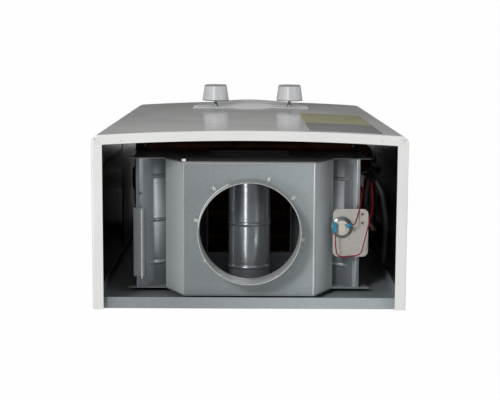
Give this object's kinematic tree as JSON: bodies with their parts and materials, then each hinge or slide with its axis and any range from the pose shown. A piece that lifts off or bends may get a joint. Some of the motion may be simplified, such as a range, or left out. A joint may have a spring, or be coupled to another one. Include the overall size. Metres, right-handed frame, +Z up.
{
  "type": "gas water heater",
  "caption": "Wall-hung open-flue instantaneous gas water heater: bowed white case open at both ends, draught hood with flue collar, finned copper exchanger, burner and two control knobs.",
  "frame": {"origin": "centre of the back plate, on the face that lies on the wall", "axes": "+Z up as hung, +Y into the wall, front faces -Y, +X to the right seen from the front"},
  "size_m": [0.33, 0.22, 0.575],
  "materials": {
    "enamel": "glossy white stove enamel on steel sheet",
    "galvanised": "hot-dip galvanised sheet, satin",
    "copper": "heat-darkened copper",
    "brass": "cast and turned brass",
    "stainless": "pressed stainless sheet",
    "silver": "silver-painted moulding",
    "greyPlastic": "light grey moulded ABS",
    "chrome": "bright plated steel",
    "whiteCeramic": "white glazed ceramic",
    "blackPlastic": "black moulded plastic",
    "redWire": "red wire insulation",
    "greySheath": "grey cable sheath",
    "blackSleeve": "black braided sleeve",
    "batteryJacket": "plain printed battery jacket"
  },
  "bodies": {
    "heater_body": {"front_cover": "enamel", "back_plate": "galvanised", "bottom_shelf": "galvanised", "control_bezel": "silver", "flue_collar": "galvanised", "hood_shell": "galvanised", "hood_front_sheet": "galvanised", "hood_back_sheet": "galvanised", "hood_base": "galvanised", "left_wing": "galvanised", "right_wing": "galvanised", "draught_baffle": "galvanised", "thermostat_bracket": "galvanised", "flue_thermostat": "whiteCeramic", "hood_bracket": "galvanised", "fin_block": "copper", "return_bend_1": "copper", "return_bend_2": "copper", "return_bend_3": "copper", "combustion_chamber": "copper", "coil_pipe": "copper", "hot_pipe": "copper", "burner_frame": "stainless", "burner_bar_1": "stainless", "burner_bar_2": "stainless", "burner_bar_3": "stainless", "burner_bar_4": "stainless", "burner_bar_5": "stainless", "burner_bar_6": "stainless", "gas_rail": "brass", "gas_valve": "brass", "gas_solenoid": "blackPlastic", "water_valve": "brass", "diaphragm_cover": "brass", "micro_switch": "blackPlastic", "drain_plug": "blackPlastic", "gas_inlet_pipe": "brass", "cold_inlet_pipe": "brass", "gas_nut": "brass", "cold_nut": "brass", "hot_nut": "brass", "igniter_box": "blackPlastic", "ignition_electrode": "whiteCeramic", "flame_sensor": "whiteCeramic", "ignition_lead": "greySheath", "sensor_lead": "redWire", "thermostat_lead_1": "redWire", "thermostat_lead_2": "redWire", "harness_sleeve": "blackSleeve", "side_cable": "greySheath", "battery_box": "greyPlastic", "battery_1": "batteryJacket", "battery_2": "batteryJacket"},
    "gas_control": {"gas_knob": "greyPlastic", "gas_spindle": "chrome"},
    "water_control": {"water_knob": "greyPlastic", "water_spindle": "chrome"},
    "linkage_rod": {"pushrod": "stainless"},
    "switch_arm": {"switch_lever": "stainless"},
    "battery_door": {"battery_lid": "greyPlastic"}
  },
  "joints": [
    {"name": "gas_knob_turn", "type": "hinge", "parent": "heater_body", "child": "gas_control", "pos_m": [-0.0553, -0.198, -0.155], "axis": [0, -1, 0], "range_deg": [0, 180]},
    {"name": "water_knob_turn", "type": "hinge", "parent": "heater_body", "child": "water_control", "pos_m": [0.0464, -0.198, -0.155], "axis": [0, -1, 0], "range_deg": [0, 270]},
    {"name": "linkage_slide", "type": "slide", "parent": "heater_body", "child": "linkage_rod", "axis": [-1, 0, 0], "range_m": [0, 0.004], "stiffness_N_per_m": 400},
    {"name": "switch_arm_swing", "type": "hinge", "parent": "heater_body", "child": "switch_arm", "pos_m": [-0.0229, -0.098, -0.1525], "axis": [0, 1, 0], "range_deg": [0, 35]},
    {"name": "battery_door_hinge", "type": "hinge", "parent": "heater_body", "child": "battery_door", "pos_m": [0.112, -0.02, -0.2652], "axis": [1, 0, 0], "range_deg": [0, 95]}
  ],
  "couplings": [
    {"joint": "switch_arm_swing", "follows": "linkage_slide", "rad_per_m": 130.8}
  ]
}
